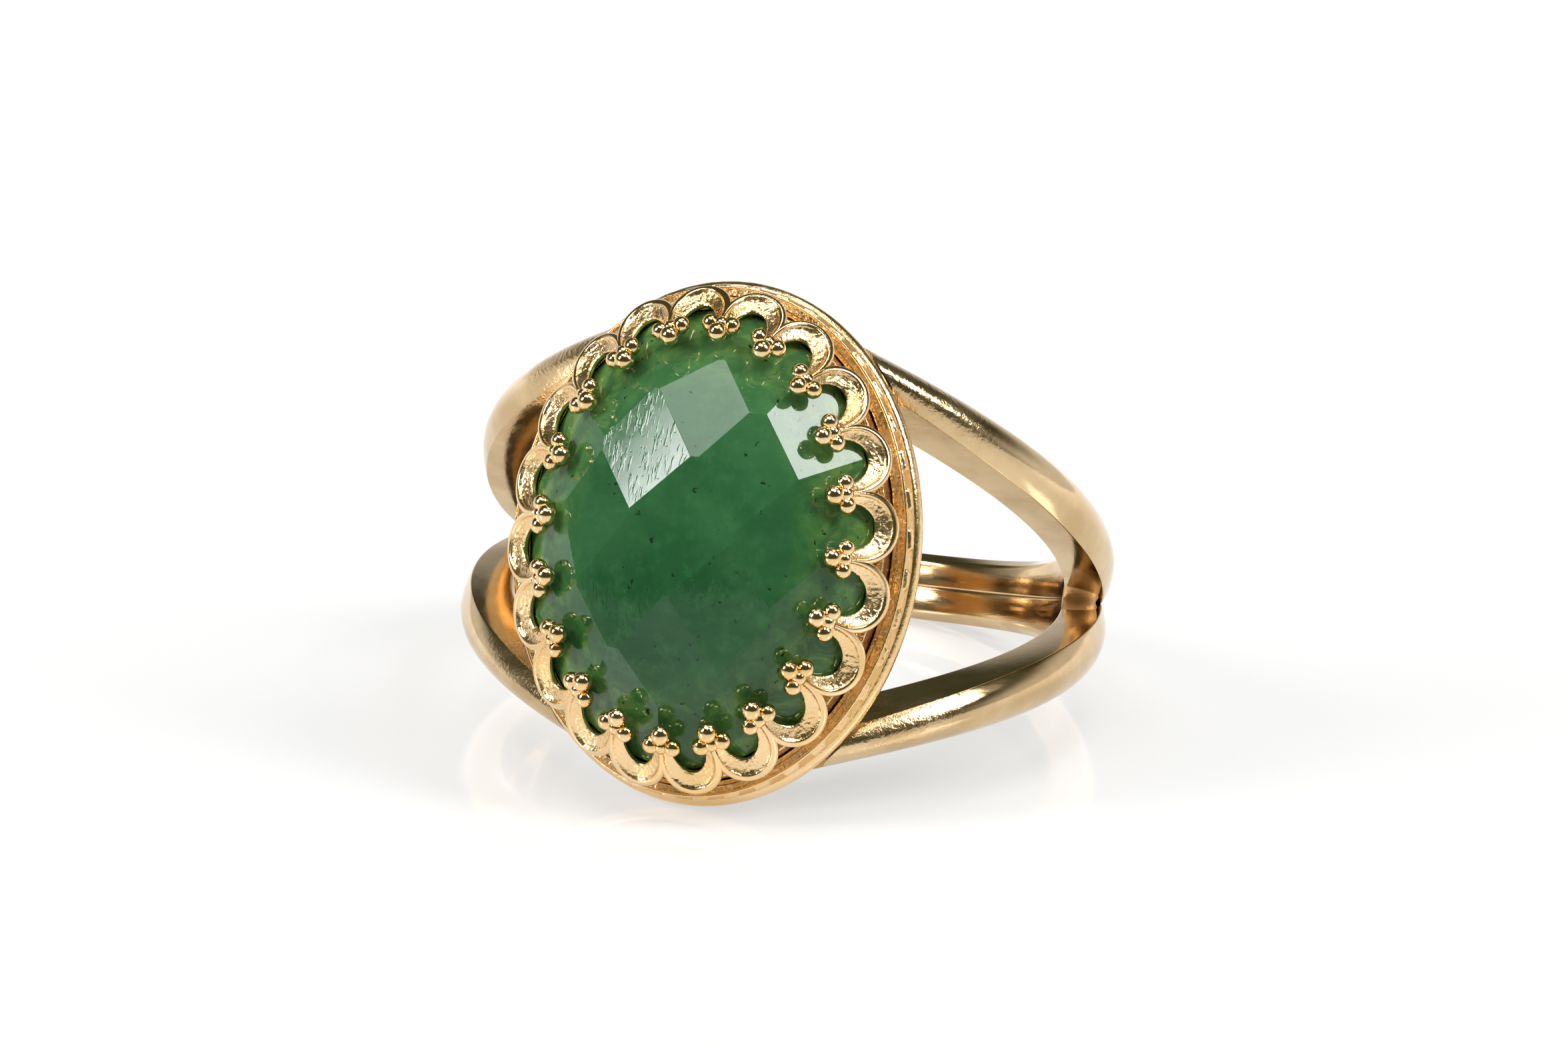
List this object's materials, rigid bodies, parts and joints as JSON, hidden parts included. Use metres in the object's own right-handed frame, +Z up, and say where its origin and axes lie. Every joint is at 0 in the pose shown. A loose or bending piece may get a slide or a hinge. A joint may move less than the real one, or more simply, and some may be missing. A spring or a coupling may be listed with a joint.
{
  "type": "cocktail ring",
  "caption": "Cocktail ring with an oval faceted green stone in a scalloped beaded gallery crown, on a rope-edged oval plate and a split shank of domed wire",
  "frame": {"origin": "middle of the bounding box on the table that the ring lies on", "axes": "+Z up from the table. The ring leans back about 21 degrees, so the stone faces -Y and a little up. +X is to the right for someone facing the stone. The finger passes along +Z, leaning towards +Y."},
  "size_m": [0.0202, 0.0236, 0.0152],
  "materials": {
    "gold": "polished rose-yellow gold fill",
    "textured_gold": "granular rose-yellow gold fill",
    "gold_solder": "rough solder",
    "green_stone": "polished, slightly translucent mottled green"
  },
  "bodies": {
    "root": {"stone": "green_stone", "bearing_ring": "gold", "gallery_strip": "gold", "base_plate": "textured_gold", "top_rail_wire": "gold", "rope_wire": "textured_gold", "edge_rail_wire": "gold", "upper_shank_wire": "gold", "lower_shank_wire": "gold", "solder_upper_right": "gold_solder", "solder_upper_left": "gold_solder", "solder_lower_right": "gold_solder", "solder_lower_left": "gold_solder", "solder_crotch_right": "gold_solder", "solder_crotch_left": "gold_solder"}
  },
  "joints": []
}
